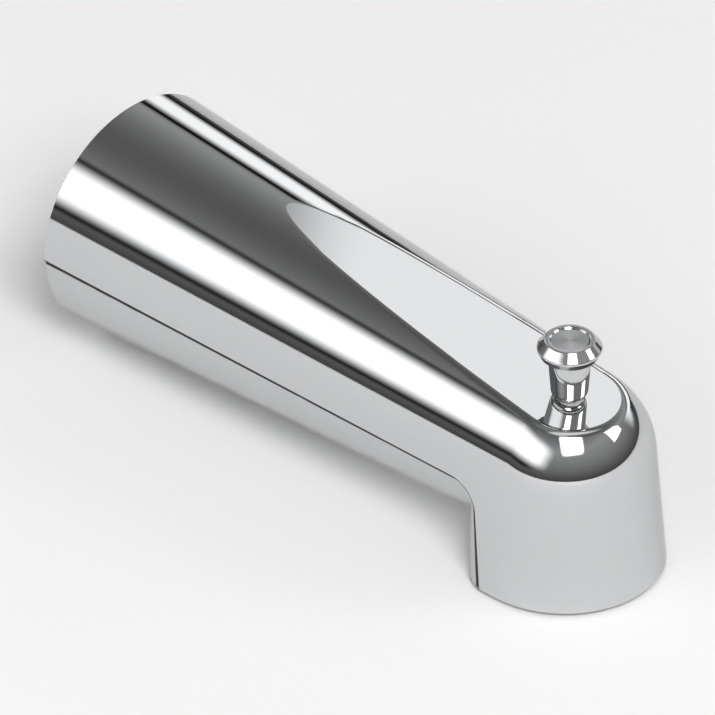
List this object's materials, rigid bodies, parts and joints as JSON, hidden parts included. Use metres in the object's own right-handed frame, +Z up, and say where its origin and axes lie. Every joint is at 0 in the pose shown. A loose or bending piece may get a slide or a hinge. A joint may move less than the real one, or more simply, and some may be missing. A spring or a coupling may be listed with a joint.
{
  "type": "bath spout",
  "caption": "Tapered chrome bath spout with a down-turned flared nose, a flat teardrop pad and a pull-up diverter knob that lifts a gate inside; slides onto a copper tube.",
  "frame": {"origin": "centre of the wall face, on the axis of the inlet tube", "axes": "+Z up, +Y into the wall, the spout reaches out along -Y"},
  "size_m": [0.0602, 0.1704, 0.0646],
  "materials": {
    "polished_chrome": "mirror-polished chrome plate on a zinc casting",
    "knob_chrome": "polished chrome plate with faint turning marks",
    "moulded_grey": "moulded acetal, light satin",
    "moulded_white": "moulded natural acetal",
    "black_rubber": "moulded nitrile rubber",
    "turned_brass": "turned, satin",
    "screw_steel": "stainless, machined"
  },
  "bodies": {
    "spout": {"spout_body": "polished_chrome", "inlet_socket": "moulded_grey", "waterway": "moulded_grey", "diverter_chamber": "moulded_grey", "chamber_cover": "moulded_grey", "o_ring_retainer": "moulded_white", "inlet_o_ring_1": "black_rubber", "inlet_o_ring_2": "black_rubber", "rod_bushing": "moulded_white", "rod_o_ring": "black_rubber", "gland_cap": "moulded_white", "retaining_screws": "screw_steel", "set_screw": "screw_steel"},
    "diverter": {"lift_knob": "knob_chrome", "lift_rod": "turned_brass", "diverter_gate": "turned_brass", "gate_seal": "black_rubber"}
  },
  "joints": [
    {"name": "knob_lift", "type": "slide", "parent": "spout", "child": "diverter", "axis": [0, 0, 1], "range_m": [0, 0.01]}
  ]
}
